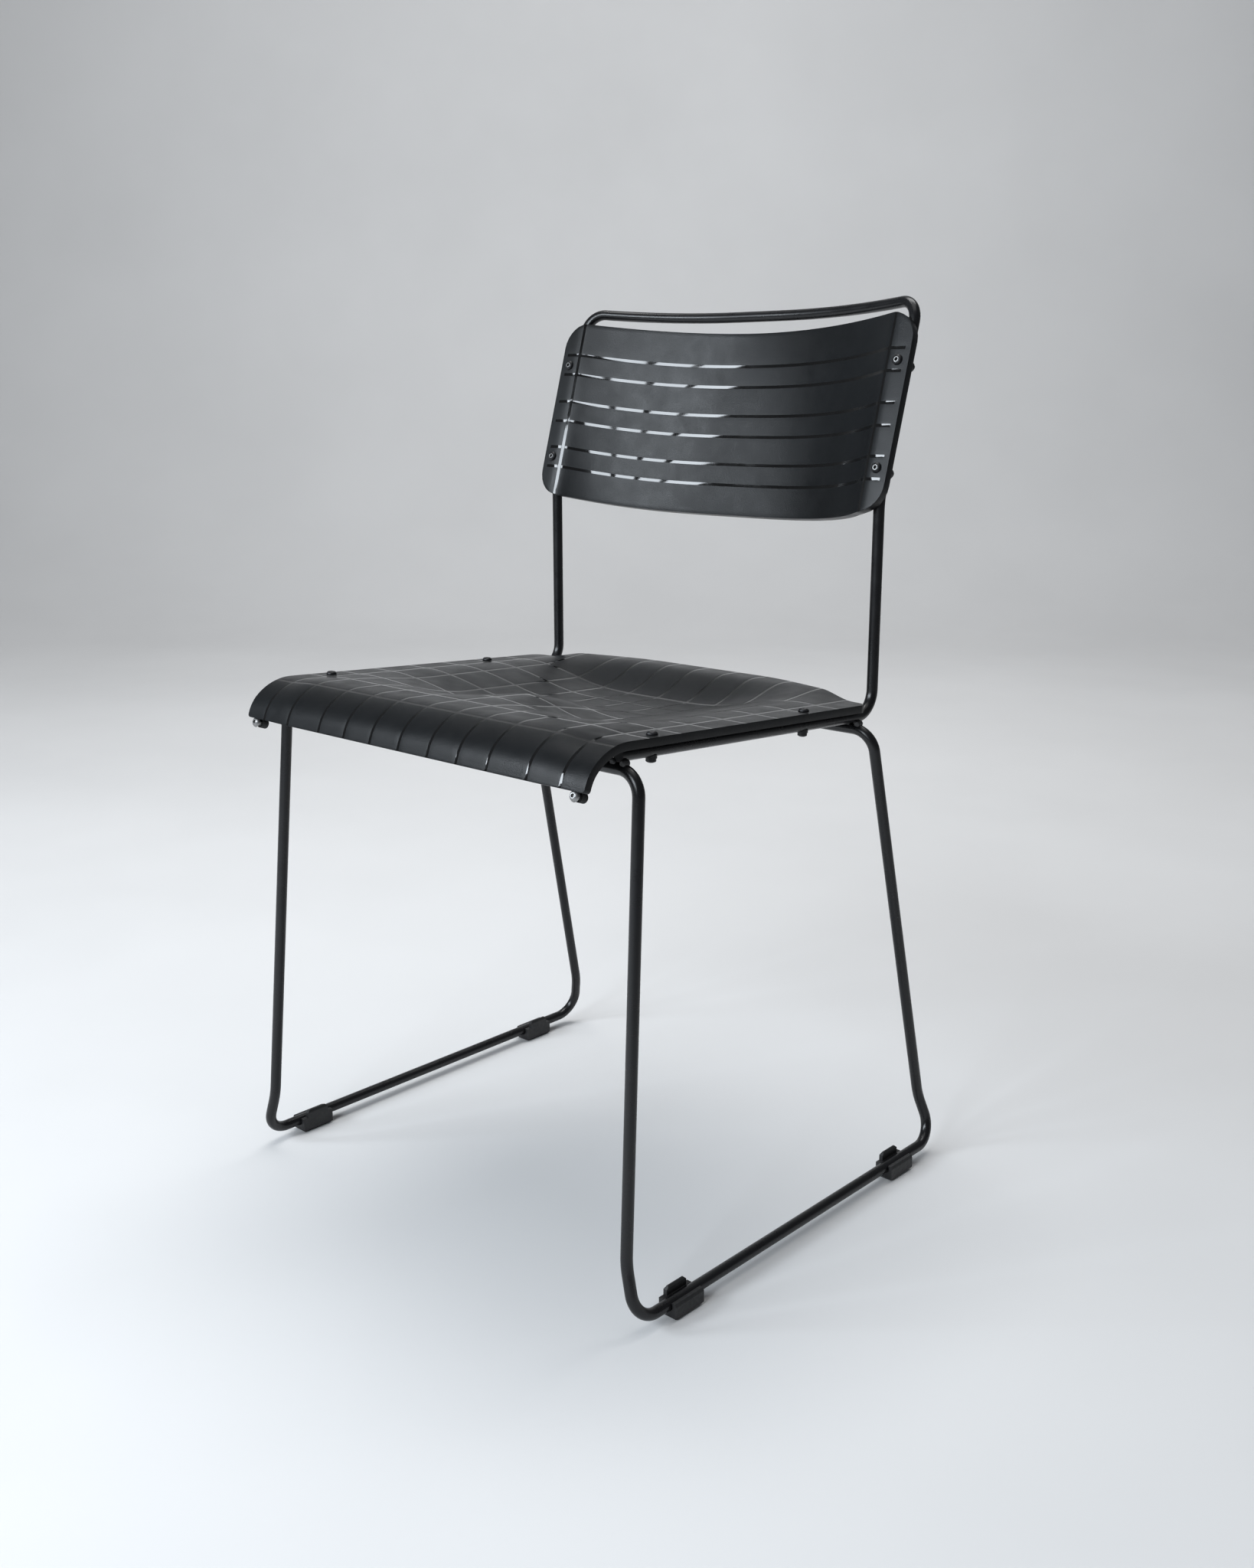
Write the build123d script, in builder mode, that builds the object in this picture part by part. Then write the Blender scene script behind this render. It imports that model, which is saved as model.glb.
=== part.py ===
from build123d import *
import os
from math import cos, exp, radians, sin, tan

# A stacking side chair: a sled base and a back frame bent from round steel rod, a moulded
# seat and back screwed to the rods, clip-on glides on the skids and two stacking buffers.
# The chair faces -Y, +X is its left-hand side as it sits, and the floor is at Z = 0.
# Lengths along Y are first measured from the front foot (fy below), then shifted so that
# the origin is in the middle of the chair's length and width.

os.makedirs("parts", exist_ok=True)

# ---- Rod and clearances ------------------------------------------------------------------
rod_d = 10.0
weld_air = 0.3            # between a rail and the crossbar it is welded to
panel_air = 0.3           # between a plastic panel and the rod it is screwed to
clip_air = 0.3            # between a glide and the skid it clips on

# ---- Rails: they set the widths and the seat's height --------------------------------------
rail_half_w = 198.0
rail_front_z = 454.8      # rail centre above the floor, over the front crossbar
rail_slope = 3.15         # degrees down towards the rear
rail_overhang = 2.0       # rail end in front of the crossbar's middle
rail_bend_r = 22.0

# ---- Sled base: corners of the rod's centreline ------------------------------------------
skid_len = 433.0          # front foot corner to rear foot corner
shoulder_outset = 19.6    # crossbar corner outside the rail
ankle_outset = 13.4       # where a leg turns outwards, outside its shoulder
skid_outset = 13.0        # skid outside the ankle
ankle_rise = 45.0
front_leg_rake = 32.4     # how far the front crossbar lies behind the front foot
rear_leg_rake = 93.4      # how far the rear crossbar lies in front of the rear foot
foot_bend_r = 22.0
ankle_bend_r = 70.0
shoulder_bend_r = 20.0

# ---- Uprights and top bar ------------------------------------------------------------------
upright_setback = 27.4    # behind the rear crossbar
kink_rise = 172.2         # where the upright starts to lean back, above the rail's front
kink_bend_r = 70.0
back_lean = 16.17         # degrees
lean_rise = 170.0         # top corner above the kink
top_bend_r = 20.0
bar_bow = 28.0            # middle of the top bar behind its corners, square to the lean
bar_turn_inset = 98.0     # from a corner to where the bowed bar turns parallel to X
bar_turn_r = 520.0

# ---- Seat panel --------------------------------------------------------------------------
seat_overhang = 10.5      # side edge outside the rail
seat_t = 7.0
crest_reach = 4.4         # top of the waterfall edge in front of the front crossbar
crown_front = 2.2         # the middle's height over the side edges, at the crest
crown_growth = 0.0118     # and how much it grows per mm towards the rear
roll_w = 41.5             # width over which the surface falls to the flat side flanges
flange_inset = 6.5        # how far the flat flange reaches inside the rail's centreline
dish_depth = 23.0
dish_half_w = 120.0
dish_start = 17.0         # start of the dish behind the crest, and length of its front slope
dish_front_len = 105.0
dish_end = 15.0           # end of the dish behind the rear corners, and length of its rise
dish_rear_len = 68.0
ridge_share = 0.9         # how much of the dish the front ridge between the thighs fills
ridge_half_w = 55.0
ridge_len = 92.0          # full ridge behind the crest, then the length over which it fades
ridge_fade_len = 110.0
upper_fall_r = 54.0       # waterfall: first and second radius, and their end angles
upper_fall_angle = 38.0
lower_fall_r = 34.0
lower_fall_angle = 70.0
lip_drop = 18.3           # lower edge of the lip below the rail's front
rear_sweep = 33.0         # the rear edge's middle behind its corners
sweep_start_x = 60.0      # where the swept rear edge leaves its straight middle
sweep_outset = 6.5        # how far outside the side edge it would be straight again
rear_corner_r = 10.0

# ---- Back panel --------------------------------------------------------------------------
back_overhang = 11.0      # side edge outside the upright
back_t = 8.5
flange_w = 22.0           # flat side flanges that carry the screws
datum_rise = 84.5         # height of the panel's datum above the kink
back_top_s = 74.0         # top and bottom edges, along the lean from the datum
back_bottom_s = -102.0
back_corner_r = 25.0
bow_top = 46.0            # depth of the bow at the top and bottom edges
bow_bottom = 54.0
bow_power_top = 1.9       # a higher power gives a flatter middle and steeper sides
bow_power_bottom = 3.4
crease_blend = 6.0        # half the width over which the bow turns into a flange

# ---- Screws, nuts, washers ---------------------------------------------------------------
screw_d = 5.0
screw_hole_d = 5.5
head_d = 9.5
head_h = 2.75
head_air = 0.05           # under a head, so that it only just meets the panel
head_flat_d = 4.6         # flat round the socket on top of the head
socket_af = 3.0
socket_depth = 1.8
front_screw_setback = 35.4     # behind the front crossbar
rear_screw_reach = 76.8        # in front of the rear crossbar
back_screw_upper_s = 31.2
back_screw_lower_s = -63.2
washer_d = 9.5
washer_t = 1.0            # at its middle, between the rod and the nut
washer_hug = 2.0          # how far it reaches up the rod's sides
nut_af = 8.0
nut_h = 2.4
nut_dome_h = 1.2
nut_rim = 0.25            # the dome's rim outside the hexagon's flats
nut_air = 0.05            # screw to nut thread

# ---- Glides ------------------------------------------------------------------------------
glide_drop = 7.0          # sole below the rod
glide_len = 35.0
glide_wall = 3.7          # beside the rod's channel
glide_outer_h = 3.0       # outer wall above the skid's centreline
glide_lip_rise = 5.5      # inner lip above the rod
glide_lip_len = 24.0
glide_grip = 1.4          # the channel's mouth is this much narrower than the rod
glide_bevel = 2.5
front_glide_setback = 55.0     # behind the front foot corner
rear_glide_reach = 68.0        # in front of the rear foot corner

# ---- Lip buffers -------------------------------------------------------------------------
buffer_d = 8.5
buffer_len = 7.0
buffer_hole_depth = 5.5
buffer_drop = 3.0         # buffer axis below the lip's edge, along the lip
lug_w = 9.5
lug_t = 4.0
buffer_screw_len = 8.5
head_room = 0.4           # round a head that sits in the lip's recess

# ---- Derived places ----------------------------------------------------------------------
rod_r = rod_d / 2
skid_z = glide_drop + rod_r
lean = radians(back_lean)
slope = radians(rail_slope)
shoulder_half_w = rail_half_w + shoulder_outset
ankle_half_w = shoulder_half_w + ankle_outset
skid_half_w = ankle_half_w + skid_outset
seat_half_w = rail_half_w + seat_overhang
back_half_w = rail_half_w + back_overhang
front_bar_fy = front_leg_rake
rear_bar_fy = skid_len - rear_leg_rake
crest_fy = front_bar_fy - crest_reach
upright_fy = rear_bar_fy + upright_setback
rear_corner_fy = upright_fy - rail_bend_r
kink_z = rail_front_z + kink_rise
top_corner_z = kink_z + lean_rise
datum_z = kink_z + datum_rise
lip_z = rail_front_z - lip_drop


def rail_z(fy):
    """Height of the rail's centreline."""
    return rail_front_z - (fy - front_bar_fy) * tan(slope)


flange_x = rail_half_w - flange_inset
bar_gap = (rod_d + weld_air) / cos(slope)
front_bar_z = rail_z(front_bar_fy) - bar_gap
rear_bar_z = rail_z(rear_bar_fy) - bar_gap
top_corner_fy = upright_fy + lean_rise * tan(lean)
chair_rear_fy = top_corner_fy + bar_bow * cos(lean) + rod_r


def smooth(start, end, value):
    """0 before start, 1 after end, and a smooth rise between."""
    t = min(max((value - start) / (end - start), 0), 1)
    return t * t * (3 - 2 * t)


def seat_z(x, fy):
    """Height of the seat's upper surface behind the waterfall."""
    edge = rail_z(fy) + (rod_r + panel_air + seat_t) / cos(slope)
    inside = 1 - smooth(flange_x - roll_w, flange_x, abs(x))
    crown = (crown_front + crown_growth * (fy - crest_fy)) * inside
    across = inside / (1 + (abs(x) / dish_half_w) ** 4.5)
    past_crest = fy - crest_fy
    past_corner = fy - rear_corner_fy
    along = smooth(dish_start, dish_start + dish_front_len, past_crest)
    along *= 1 - smooth(dish_end - dish_rear_len, dish_end, past_corner)
    ridge = ridge_share * exp(-((x / ridge_half_w) ** 2))
    ridge *= 1 - smooth(ridge_len, ridge_len + ridge_fade_len, past_crest)
    return edge + crown - dish_depth * across * along * (1 - ridge)


def fall_points(x):
    """Waterfall at one x: corner points (fy, z) of its outer line with their angles."""
    start_angle = -slope
    first = radians(upper_fall_angle)
    second = radians(lower_fall_angle)

    def up(angle):
        return Vector(-sin(angle), cos(angle))

    start_fy = crest_fy + upper_fall_r * sin(slope)
    start = Vector(start_fy, seat_z(x, start_fy))
    centre_1 = start - up(start_angle) * upper_fall_r
    turn = centre_1 + up(first) * upper_fall_r
    centre_2 = turn - up(first) * lower_fall_r
    drop = centre_2 + up(second) * lower_fall_r
    straight = (drop.Y - lip_z) / sin(second)
    lip = drop + Vector(-cos(second), -sin(second)) * straight
    mid_1 = centre_1 + up((start_angle + first) / 2) * upper_fall_r
    mid_2 = centre_2 + up((first + second) / 2) * lower_fall_r
    angles = [start_angle, (start_angle + first) / 2, first, (first + second) / 2]
    angles += [second, second]
    points = [start, mid_1, turn, mid_2, drop, lip]
    return [(point, up(angle)) for point, angle in zip(points, angles)]


# The lip's edge in the middle of the seat is the foremost point of the chair.
chair_front_fy = fall_points(0)[-1][0].X
mid_fy = (chair_front_fy + chair_rear_fy) / 2


def spot(x, fy, z):
    """A point of the chair in the part's own frame."""
    return Vector(x, fy - mid_fy, z)


lean_up = Vector(0, sin(lean), cos(lean))
lean_back = Vector(0, cos(lean), -sin(lean))
rail_down = Vector(0, -sin(slope), -cos(slope))


# ---- Sled base ---------------------------------------------------------------------------
def leg_point(foot_fy, bar_fy, bar_z):
    """Where a leg turns outwards: on the straight side-view line from foot to crossbar."""
    share = ankle_rise / (bar_z - skid_z)
    return spot(ankle_half_w, foot_fy + (bar_fy - foot_fy) * share, skid_z + ankle_rise)


with BuildPart() as sled_base:
    with BuildLine() as base_line:
        FilletPolyline(
            spot(0, front_bar_fy, front_bar_z),
            spot(shoulder_half_w, front_bar_fy, front_bar_z),
            leg_point(0, front_bar_fy, front_bar_z),
            spot(skid_half_w, 0, skid_z),
            spot(skid_half_w, skid_len, skid_z),
            leg_point(skid_len, rear_bar_fy, rear_bar_z),
            spot(shoulder_half_w, rear_bar_fy, rear_bar_z),
            spot(0, rear_bar_fy, rear_bar_z),
            radius=[
                shoulder_bend_r,
                ankle_bend_r,
                foot_bend_r,
                foot_bend_r,
                ankle_bend_r,
                shoulder_bend_r,
            ],
        )
    with BuildSketch(Plane(spot(0, front_bar_fy, front_bar_z), z_dir=(1, 0, 0))):
        Circle(rod_r)
    sweep(path=base_line.line)
    mirror(about=Plane.YZ)

# ---- Screw axes --------------------------------------------------------------------------
datum_fy = upright_fy + datum_rise * tan(lean)
sides = (-1, 1)


def seat_screw_planes():
    """Planes on the rail's centreline whose normals point up out of the seat."""
    for side in sides:
        for fy in (front_bar_fy + front_screw_setback, rear_bar_fy - rear_screw_reach):
            place = spot(side * rail_half_w, fy, rail_z(fy))
            yield Plane(place, x_dir=(1, 0, 0), z_dir=-rail_down)


def back_screw_planes():
    """Planes on the upright's centreline whose normals point forward out of the back."""
    for side in sides:
        for along in (back_screw_lower_s, back_screw_upper_s):
            place = spot(side * rail_half_w, datum_fy, datum_z) + lean_up * along
            yield Plane(place, x_dir=(1, 0, 0), z_dir=-lean_back)


with BuildPart() as screw_drills:
    for plane in list(seat_screw_planes()) + list(back_screw_planes()):
        with BuildSketch(plane):
            Circle(screw_hole_d / 2)
        extrude(amount=2 * rod_d, both=True)

# ---- Back frame --------------------------------------------------------------------------
rail_start_fy = front_bar_fy - rail_overhang
bar_turn = spot(rail_half_w - bar_turn_inset, top_corner_fy, top_corner_z) + lean_back * bar_bow
bar_middle = spot(0, top_corner_fy, top_corner_z) + lean_back * bar_bow

with BuildPart() as back_frame:
    with BuildLine() as back_line:
        FilletPolyline(
            spot(rail_half_w, rail_start_fy, rail_z(rail_start_fy)),
            spot(rail_half_w, upright_fy, rail_z(upright_fy)),
            spot(rail_half_w, upright_fy, kink_z),
            spot(rail_half_w, top_corner_fy, top_corner_z),
            bar_turn,
            bar_middle,
            radius=[rail_bend_r, kink_bend_r, top_bend_r, bar_turn_r],
        )
    with BuildSketch(Plane(back_line.line @ 0, z_dir=back_line.line % 0)):
        Circle(rod_r)
    sweep(path=back_line.line)
    mirror(about=Plane.YZ)
    add(screw_drills.part, mode=Mode.SUBTRACT)


# ---- Welds -------------------------------------------------------------------------------
def weld_beads(bar_fy, bar_z):
    """Beads in the corners between both rails and one crossbar."""
    with BuildPart() as beads:
        for side in sides:
            for edge in sides:
                bead_x = side * rail_half_w + edge * rod_r
                middle = spot(bead_x, bar_fy, bar_z + rod_r)
                with BuildSketch(Plane(middle, z_dir=(0, 1, 0))):
                    Circle(0.62 * rod_r)
                extrude(amount=0.7 * rod_r, both=True)
        fillet(beads.edges().filter_by(GeomType.CIRCLE), 0.3 * rod_r)
        add(sled_base.part, mode=Mode.SUBTRACT)
        add(back_frame.part, mode=Mode.SUBTRACT)
    return beads


front_rail_welds = weld_beads(front_bar_fy, front_bar_z)
rear_rail_welds = weld_beads(rear_bar_fy, rear_bar_z)

# ---- Seat panel --------------------------------------------------------------------------
roll_start_x = flange_x - roll_w
seat_stations = [roll_start_x * step / 5 for step in range(1, 6)]
seat_stations += [roll_start_x + roll_w * step / 3 for step in (1, 2, 3)]
seat_stations += [(flange_x + seat_half_w) / 2, seat_half_w]
seat_steps = 12


def seat_rear_fy(x):
    """The seat's swept rear edge."""
    swept = smooth(sweep_start_x, seat_half_w + sweep_outset, abs(x))
    return rear_corner_fy + rear_sweep * (1 - swept)


def seat_section(x):
    """Closed outline of the seat cut along Y at one x: top, waterfall, lip, underside."""
    fall = fall_points(x)
    outer = [point for point, _ in fall]
    inner = [point - up * seat_t for point, up in fall]
    rear = seat_rear_fy(x)
    span = outer[0].X - rear
    top = [rear + span * step / seat_steps for step in range(seat_steps)]
    top = [Vector(fy, seat_z(x, fy)) for fy in top] + [outer[0]]
    under = [point - Vector(0, seat_t) for point in top[:-1]] + [inner[0]]
    start = Vector(-cos(slope), sin(slope))
    end = (top[1] - top[0]).normalized()
    with BuildSketch(Plane(spot(x, 0, 0), x_dir=(0, 1, 0), z_dir=(1, 0, 0))) as section:
        with BuildLine():
            Spline(*top, tangents=(end, start))
            ThreePointArc(outer[0], outer[1], outer[2])
            ThreePointArc(outer[2], outer[3], outer[4])
            Line(outer[4], outer[5])
            Line(outer[5], inner[5])
            Line(inner[5], inner[4])
            ThreePointArc(inner[4], inner[3], inner[2])
            ThreePointArc(inner[2], inner[1], inner[0])
            Spline(*under[::-1], tangents=(-start, -end))
            Line(under[0], top[0])
        make_face()
    return section.sketch


lip_point, lip_up = fall_points(rail_half_w)[-1]
lip_down = Vector(0, -cos(radians(lower_fall_angle)), -sin(radians(lower_fall_angle)))
lip_in = Vector(0, sin(radians(lower_fall_angle)), -cos(radians(lower_fall_angle)))


def buffer_plane(side, depth):
    """Square to the lip, on a buffer's axis, depth behind the lip's outer face."""
    edge = spot(side * rail_half_w, lip_point.X, lip_point.Y)
    place = edge + lip_down * buffer_drop + lip_in * depth
    return Plane(place, x_dir=(1, 0, 0), z_dir=lip_in)


with BuildPart() as seat_panel:
    stations = [-x for x in reversed(seat_stations)] + [0] + seat_stations
    loft([seat_section(x) for x in stations])
    wide_x = seat_half_w - 2.5 * rear_corner_r
    with BuildSketch(Plane(spot(0, rear_corner_fy, 0))) as plan:
        with BuildLine():
            Polyline(
                (-seat_half_w, -rail_front_z),
                (seat_half_w, -rail_front_z),
                (seat_half_w, 0),
                (wide_x, 0.5 * rear_corner_r),
                (wide_x - 2 * rear_sweep, 2 * rear_sweep),
                (2 * rear_sweep - wide_x, 2 * rear_sweep),
                (-wide_x, 0.5 * rear_corner_r),
                (-seat_half_w, 0),
                close=True,
            )
        make_face()
        fillet(plan.vertices().sort_by(Axis.Y)[2:4], rear_corner_r)
    extrude(amount=2 * rail_front_z, mode=Mode.INTERSECT)
    for side in sides:
        lug = buffer_plane(side, seat_t - lug_t)
        with BuildSketch(lug):
            with Locations((0, -lug_w / 2)):
                Rectangle(lug_w, lug_w)
            Circle(lug_w / 2)
        extrude(amount=lug_t)
        with BuildSketch(lug):
            Circle(head_d / 2 + head_room)
        extrude(amount=-2 * seat_t, mode=Mode.SUBTRACT)
        with BuildSketch(lug):
            Circle(screw_hole_d / 2)
        extrude(amount=2 * lug_t, both=True, mode=Mode.SUBTRACT)
    add(screw_drills.part, mode=Mode.SUBTRACT)

# ---- Back panel --------------------------------------------------------------------------
face_gap = rod_r + panel_air + back_t      # rod centreline to the panel's front face
datum = spot(0, datum_fy, datum_z) - lean_back * face_gap
crease_x = back_half_w - flange_w
back_levels = 5
bow_steps = 12


def bow_depth(x, share):
    """Depth of the bow at one x; share runs from 0 at the bottom edge to 1 at the top."""
    depth = bow_bottom + (bow_top - bow_bottom) * share
    power = bow_power_bottom + (bow_power_top - bow_power_bottom) * share
    sharp = depth * (1 - (abs(x) / crease_x) ** power)
    round_depth = crease_blend * depth * power / crease_x
    near = max(1 - abs(sharp) / round_depth, 0)
    return max(sharp, 0) + round_depth * near**2 / 4


def back_section(share):
    """Closed outline of the back cut square to its lean at one level."""
    along = back_bottom_s + (back_top_s - back_bottom_s) * share
    blend = [crease_x + crease_blend * step / 2 for step in (-2, -1, 0, 1, 2.2)]
    inner = [blend[0] * step / bow_steps for step in range(1 - bow_steps, bow_steps)]
    xs = [-x for x in reversed(blend)] + inner + blend
    front = [Vector(x, bow_depth(x, share)) for x in xs]
    rear = [point + Vector(0, back_t) for point in front]
    plane = Plane(datum + lean_up * along, x_dir=(1, 0, 0), z_dir=lean_up)
    with BuildSketch(plane) as section:
        with BuildLine():
            Line((-back_half_w, 0), front[0])
            Spline(*front)
            Line(front[-1], (back_half_w, 0))
            Line((back_half_w, 0), (back_half_w, back_t))
            Line((back_half_w, back_t), rear[-1])
            Spline(*rear[::-1])
            Line(rear[0], (-back_half_w, back_t))
            Line((-back_half_w, back_t), (-back_half_w, 0))
        make_face()
    return section.sketch


with BuildPart() as back_panel:
    loft([back_section(level / (back_levels - 1)) for level in range(back_levels)])
    middle_s = (back_top_s + back_bottom_s) / 2
    face = Plane(datum + lean_up * middle_s, x_dir=(1, 0, 0), z_dir=lean_back)
    with BuildSketch(face):
        RectangleRounded(2 * back_half_w, back_top_s - back_bottom_s, back_corner_r)
    extrude(amount=2 * bow_bottom, both=True, mode=Mode.INTERSECT)
    add(screw_drills.part, mode=Mode.SUBTRACT)


# ---- Screws, washers and nuts ------------------------------------------------------------
def button_screw(seat_of_head, length):
    """Button-head socket screw: the plane is under its head, its normal out of the head."""
    with BuildPart(mode=Mode.PRIVATE) as screw:
        with BuildSketch(Plane.XZ):
            with BuildLine():
                Line((0, -length), (screw_d / 2, -length))
                Line((screw_d / 2, -length), (screw_d / 2, 0))
                Line((screw_d / 2, 0), (head_d / 2, 0))
                shoulder = (0.8 * head_d / 2, 0.62 * head_h)
                ThreePointArc((head_d / 2, 0), shoulder, (head_flat_d / 2, head_h))
                Line((head_flat_d / 2, head_h), (0, head_h))
                Line((0, head_h), (0, -length))
            make_face()
        revolve(axis=Axis.Z)
        with BuildSketch(Plane.XY.offset(head_h)):
            RegularPolygon(socket_af / 2, 6, major_radius=False)
        extrude(amount=-socket_depth, mode=Mode.SUBTRACT)
    return seat_of_head.location * screw.part


def saddle_washer(rod_plane):
    """Washer hollowed to the rod behind it; the plane is on the rod, its normal forward."""
    with BuildPart(mode=Mode.PRIVATE) as washer:
        with BuildSketch(Plane.XY.offset(-rod_r - washer_t)):
            Circle(washer_d / 2)
            Circle(screw_hole_d / 2, mode=Mode.SUBTRACT)
        extrude(amount=washer_t + washer_hug)
        with BuildSketch(Plane.XZ):
            Circle(rod_r + panel_air / 2)
        extrude(amount=washer_d, both=True, mode=Mode.SUBTRACT)
    return rod_plane.location * washer.part


def cap_nut(rod_plane):
    """Low domed hexagon nut under the saddle washer."""
    face_z = -rod_r - washer_t
    rim = nut_af / 2 + nut_rim
    with BuildPart(mode=Mode.PRIVATE) as nut:
        with BuildSketch(Plane.XY.offset(face_z)):
            RegularPolygon(nut_af / 2, 6, major_radius=False)
        extrude(amount=-nut_h - nut_dome_h)
        with BuildSketch(Plane.XZ):
            with BuildLine():
                Line((0, face_z), (rim, face_z))
                Line((rim, face_z), (rim, face_z - nut_h))
                shoulder = (0.72 * rim, face_z - nut_h - 0.68 * nut_dome_h)
                bottom = (0, face_z - nut_h - nut_dome_h)
                ThreePointArc((rim, face_z - nut_h), shoulder, bottom)
                Line(bottom, (0, face_z))
            make_face()
        revolve(axis=Axis.Z, mode=Mode.INTERSECT)
        with BuildSketch(Plane.XY.offset(face_z)):
            Circle(screw_d / 2 + nut_air)
        extrude(amount=-nut_h, mode=Mode.SUBTRACT)
    return rod_plane.location * nut.part


def head_plane(rod_plane, panel_t):
    return rod_plane.offset(rod_r + panel_air + panel_t + head_air)


def group(solids):
    with BuildPart() as pieces:
        for solid in solids:
            add(solid)
    return pieces


thread_reach = rod_r + washer_t + 0.9 * nut_h
seat_screw_len = seat_t + panel_air + rod_r + thread_reach
back_screw_len = back_t + panel_air + rod_r + thread_reach
seat_screws = group(
    button_screw(head_plane(plane, seat_t), seat_screw_len) for plane in seat_screw_planes()
)
back_screws = group(
    button_screw(head_plane(plane, back_t), back_screw_len) for plane in back_screw_planes()
)
seat_saddle_washers = group(saddle_washer(plane) for plane in seat_screw_planes())
back_saddle_washers = group(saddle_washer(plane) for plane in back_screw_planes())
seat_cap_nuts = group(cap_nut(plane) for plane in seat_screw_planes())
back_cap_nuts = group(cap_nut(plane) for plane in back_screw_planes())


# ---- Lip buffers -------------------------------------------------------------------------
def lip_buffer(side):
    """Round buffer behind a lug, with a blind hole for its screw."""
    with BuildPart() as bumper:
        with BuildSketch(buffer_plane(side, seat_t + head_air)):
            Circle(buffer_d / 2)
        extrude(amount=buffer_len)
        fillet(bumper.edges().filter_by(GeomType.CIRCLE).sort_by(Axis.Y)[-1], 1.5)
        with BuildSketch(buffer_plane(side, seat_t)):
            Circle(screw_d / 2 + nut_air)
        extrude(amount=buffer_hole_depth, mode=Mode.SUBTRACT)
    return bumper


def buffer_screw(side):
    outward = buffer_plane(side, seat_t - lug_t)
    return button_screw(Plane(outward.origin, x_dir=(1, 0, 0), z_dir=-lip_in), buffer_screw_len)


left_lip_buffer = lip_buffer(1)
right_lip_buffer = lip_buffer(-1)
lip_buffer_screws = group(buffer_screw(side) for side in sides)


# ---- Glides ------------------------------------------------------------------------------
glide_half_w = rod_r + clip_air + glide_wall
glide_lip_h = rod_r + glide_lip_rise


def glide(side, fy):
    """Clip-on foot: a channel for the skid, a sole under it and a tall lip inside."""
    with BuildPart() as foot:
        middle = spot(side * skid_half_w, fy, skid_z)
        section = Plane(middle, x_dir=(side, 0, 0), z_dir=(0, -side, 0))
        with BuildSketch(section):
            with BuildLine():
                Polyline(
                    (-glide_half_w + glide_bevel, -skid_z),
                    (glide_half_w - glide_bevel, -skid_z),
                    (glide_half_w, glide_bevel - skid_z),
                    (glide_half_w, glide_outer_h - glide_bevel),
                    (glide_half_w - glide_bevel / 2, glide_outer_h),
                    (-glide_half_w, glide_outer_h),
                    (-glide_half_w, glide_bevel - skid_z),
                    close=True,
                )
            make_face()
        extrude(amount=glide_len / 2, both=True)
        with BuildSketch(section):
            with BuildLine():
                inner_wall = -rod_r - clip_air
                Polyline(
                    (-glide_half_w, 0),
                    (inner_wall, 0),
                    (inner_wall, glide_lip_h - glide_bevel / 2),
                    (inner_wall - glide_bevel / 2, glide_lip_h),
                    (-glide_half_w + glide_bevel / 2, glide_lip_h),
                    (-glide_half_w, glide_lip_h - glide_bevel),
                    close=True,
                )
            make_face()
        extrude(amount=glide_lip_len / 2, both=True)
        ends = foot.edges().filter_by(Axis.X).group_by(Axis.Z)[0]
        chamfer(ends, glide_bevel)
        lip_ends = foot.edges().filter_by(Axis.X).group_by(Axis.Z)[-1]
        chamfer(lip_ends, glide_bevel)
        with BuildSketch(section):
            Circle(rod_r + clip_air)
            with Locations((0, rod_r)):
                Rectangle(rod_d - glide_grip, rod_d)
        extrude(amount=glide_len, both=True, mode=Mode.SUBTRACT)
    return foot


rear_glide_fy = skid_len - rear_glide_reach
front_left_glide = glide(1, front_glide_setback)
front_right_glide = glide(-1, front_glide_setback)
rear_left_glide = glide(1, rear_glide_fy)
rear_right_glide = glide(-1, rear_glide_fy)

# ---- Write the parts ---------------------------------------------------------------------
pieces = {
    "sled_base": sled_base,
    "back_frame": back_frame,
    "front_rail_welds": front_rail_welds,
    "rear_rail_welds": rear_rail_welds,
    "seat_panel": seat_panel,
    "back_panel": back_panel,
    "seat_screws": seat_screws,
    "back_screws": back_screws,
    "seat_saddle_washers": seat_saddle_washers,
    "back_saddle_washers": back_saddle_washers,
    "seat_cap_nuts": seat_cap_nuts,
    "back_cap_nuts": back_cap_nuts,
    "left_lip_buffer": left_lip_buffer,
    "right_lip_buffer": right_lip_buffer,
    "lip_buffer_screws": lip_buffer_screws,
    "front_left_glide": front_left_glide,
    "front_right_glide": front_right_glide,
    "rear_left_glide": rear_left_glide,
    "rear_right_glide": rear_right_glide,
}
for label, piece in pieces.items():
    piece.part.label = label
    export_step(piece.part, f"parts/{label}.step")
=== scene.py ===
from math import cos, exp, pi, radians, sin, sqrt, tan

import bmesh
import bpy
from mathutils import Matrix, Vector


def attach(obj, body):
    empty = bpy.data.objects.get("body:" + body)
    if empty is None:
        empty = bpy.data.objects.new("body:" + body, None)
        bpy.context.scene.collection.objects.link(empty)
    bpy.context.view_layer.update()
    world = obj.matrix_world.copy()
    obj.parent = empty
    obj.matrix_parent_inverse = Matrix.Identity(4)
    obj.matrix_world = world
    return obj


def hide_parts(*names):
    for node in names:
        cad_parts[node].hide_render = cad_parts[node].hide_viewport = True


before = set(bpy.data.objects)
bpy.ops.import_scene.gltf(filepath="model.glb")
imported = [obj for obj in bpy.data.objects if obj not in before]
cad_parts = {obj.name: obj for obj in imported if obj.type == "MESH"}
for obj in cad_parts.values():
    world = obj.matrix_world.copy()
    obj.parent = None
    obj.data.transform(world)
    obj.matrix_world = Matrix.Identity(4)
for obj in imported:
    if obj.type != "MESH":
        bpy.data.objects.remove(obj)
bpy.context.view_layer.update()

MM = 0.001

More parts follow.
